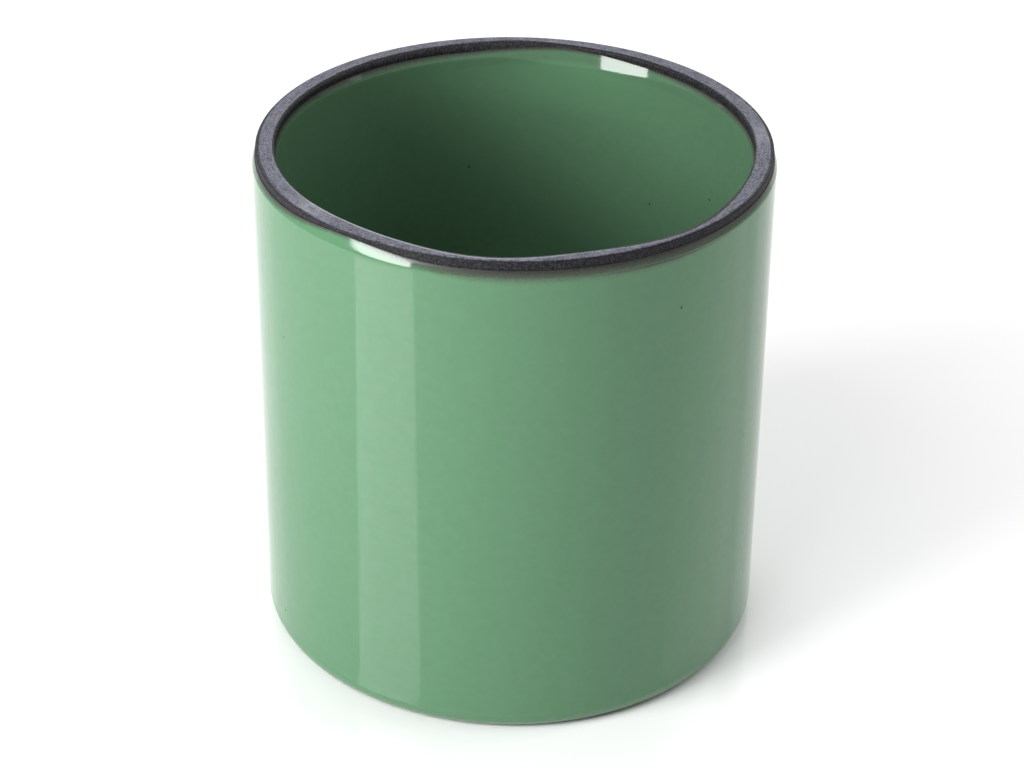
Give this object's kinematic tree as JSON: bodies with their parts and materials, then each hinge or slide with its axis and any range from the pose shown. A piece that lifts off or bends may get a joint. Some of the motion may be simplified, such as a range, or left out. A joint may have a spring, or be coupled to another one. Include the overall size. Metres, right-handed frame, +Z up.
{
  "type": "brush holder pot",
  "caption": "Straight-sided round brush holder pot of dark clay, glazed inside and out, with a bare sanded lip and a bare foot ring.",
  "frame": {"origin": "middle of the foot, on the plane the pot stands on", "axes": "+Z up along the pot's axis, from the foot to the lip; the pot is round, so X and Y are free"},
  "size_m": [0.08, 0.08, 0.0822],
  "materials": {
    "bare_clay": "unglazed, fired to a dark charcoal, sanded matte at the lip and foot",
    "green_glaze_outside": "glossy opaque green glaze, thin and greyer at its edges",
    "green_glaze_inside": "glossy opaque green glaze with a few pinholes"
  },
  "bodies": {
    "root": {"clay_body": "bare_clay", "outer_glaze": "green_glaze_outside", "inner_glaze": "green_glaze_inside"}
  },
  "joints": []
}
